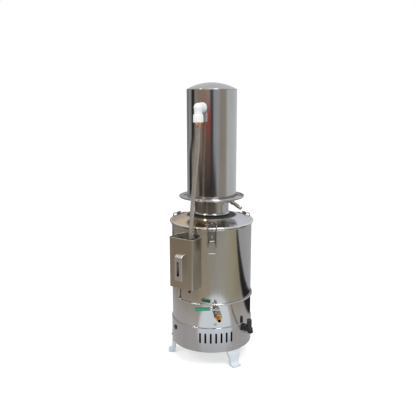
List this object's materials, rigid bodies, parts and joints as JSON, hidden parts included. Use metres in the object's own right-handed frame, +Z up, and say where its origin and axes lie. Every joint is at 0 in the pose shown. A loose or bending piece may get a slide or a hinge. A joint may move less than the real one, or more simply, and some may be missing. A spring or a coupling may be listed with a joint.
{
  "type": "electric water distiller",
  "caption": "Upright electric water distiller: stainless pot on a ventilated base with legs, latched lid with condenser tower, level box, overflow pipe and drain valve.",
  "frame": {"origin": "on the floor under the middle of the whole object's box", "axes": "+Z up, drain valve facing -Y, level box towards -X, cord outlet towards +X"},
  "size_m": [0.2547, 0.3085, 0.797],
  "materials": {
    "polished_sheet": "polished",
    "satin_sheet": "satin",
    "bright_steel": "bright",
    "leg_white": "gloss",
    "white_plastic": "gloss",
    "black_plastic": "matte",
    "green_sleeve": "satin",
    "lamp_green": "gloss",
    "brass_tail": "machined",
    "copper_clamp": "plated",
    "clear_hose": "clear",
    "sight_glass": "clear",
    "gasket_rubber": "matte",
    "valve_seats": "satin",
    "ceramic": "matte"
  },
  "bodies": {
    "distiller": {"base_skirt": "polished_sheet", "base_plate": "satin_sheet", "pot_support_ring": "satin_sheet", "leg_front": "leg_white", "leg_rear": "leg_white", "leg_left": "leg_white", "leg_screws": "bright_steel", "leg_nuts": "bright_steel", "pot": "polished_sheet", "wall_screws": "bright_steel", "lid": "polished_sheet", "lid_gasket": "gasket_rubber", "lid_hooks": "bright_steel", "latch_rivets": "bright_steel", "latch_bases": "bright_steel", "latch_pins": "bright_steel", "steam_riser": "polished_sheet", "collar_tray": "polished_sheet", "condensing_dome": "satin_sheet", "condenser_shell": "polished_sheet", "condenser_cap": "polished_sheet", "distillate_nozzle": "polished_sheet", "cooling_inlet": "polished_sheet", "outlet_stub": "polished_sheet", "outlet_elbow": "white_plastic", "union_nut": "white_plastic", "hose_clamp": "copper_clamp", "clear_hose": "clear_hose", "hose_grommet": "gasket_rubber", "level_box": "satin_sheet", "level_box_top": "satin_sheet", "feed_nipple": "polished_sheet", "overflow_pipe": "bright_steel", "sight_guard": "bright_steel", "sight_glass": "sight_glass", "sight_fittings": "bright_steel", "valve_nipple": "bright_steel", "valve_body": "bright_steel", "valve_seats": "valve_seats", "drain_tail": "brass_tail", "heaters": "bright_steel", "heater_glands": "bright_steel", "heater_nuts": "bright_steel", "terminal_block": "ceramic", "cord_outlet": "black_plastic", "cord_clamp_nut": "black_plastic", "cord_outlet_locknut": "black_plastic", "lamp_body": "lamp_green", "lamp_lens": "lamp_green"},
    "valve_handle": {"valve_lever": "bright_steel", "lever_sleeve": "green_sleeve", "valve_stem": "bright_steel", "lever_nut": "bright_steel", "valve_ball": "bright_steel"},
    "latch_lever_front": {"latch_lever_front": "bright_steel"},
    "latch_bail_front": {"latch_bail_front": "bright_steel"},
    "latch_lever_right": {"latch_lever_right": "bright_steel"},
    "latch_bail_right": {"latch_bail_right": "bright_steel"},
    "latch_lever_left": {"latch_lever_left": "bright_steel"},
    "latch_bail_left": {"latch_bail_left": "bright_steel"}
  },
  "joints": [
    {"name": "valve_lever", "type": "hinge", "parent": "distiller", "child": "valve_handle", "pos_m": [0.0038, -0.1093, 0.175], "axis": [0, 0, 1], "range_deg": [0, 90]},
    {"name": "latch_front", "type": "hinge", "parent": "distiller", "child": "latch_lever_front", "pos_m": [-0.0089, -0.08813, 0.3745], "axis": [-0.9945, 0.1045, 0], "range_deg": [0, 110]},
    {"name": "bail_front", "type": "hinge", "parent": "latch_lever_front", "child": "latch_bail_front", "pos_m": [-0.00885, -0.08764, 0.358], "axis": [-0.9945, 0.1045, 0], "range_deg": [-78.5, 0]},
    {"name": "latch_right", "type": "hinge", "parent": "distiller", "child": "latch_lever_right", "pos_m": [0.1148, 0.08212, 0.3745], "axis": [0.4067, -0.9135, 0], "range_deg": [0, 110]},
    {"name": "bail_right", "type": "hinge", "parent": "latch_lever_right", "child": "latch_bail_right", "pos_m": [0.11434, 0.08192, 0.358], "axis": [0.4067, -0.9135, 0], "range_deg": [-78.5, 0]},
    {"name": "latch_left", "type": "hinge", "parent": "distiller", "child": "latch_lever_left", "pos_m": [-0.0945, 0.10412, 0.3745], "axis": [0.5878, 0.809, 0], "range_deg": [0, 110]},
    {"name": "bail_left", "type": "hinge", "parent": "latch_lever_left", "child": "latch_bail_left", "pos_m": [-0.09409, 0.10382, 0.358], "axis": [0.5878, 0.809, 0], "range_deg": [-78.5, 0]}
  ],
  "couplings": [
    {"joint": "bail_front", "follows": "latch_front", "ratio": -0.71},
    {"joint": "bail_right", "follows": "latch_right", "ratio": -0.71},
    {"joint": "bail_left", "follows": "latch_left", "ratio": -0.71}
  ]
}
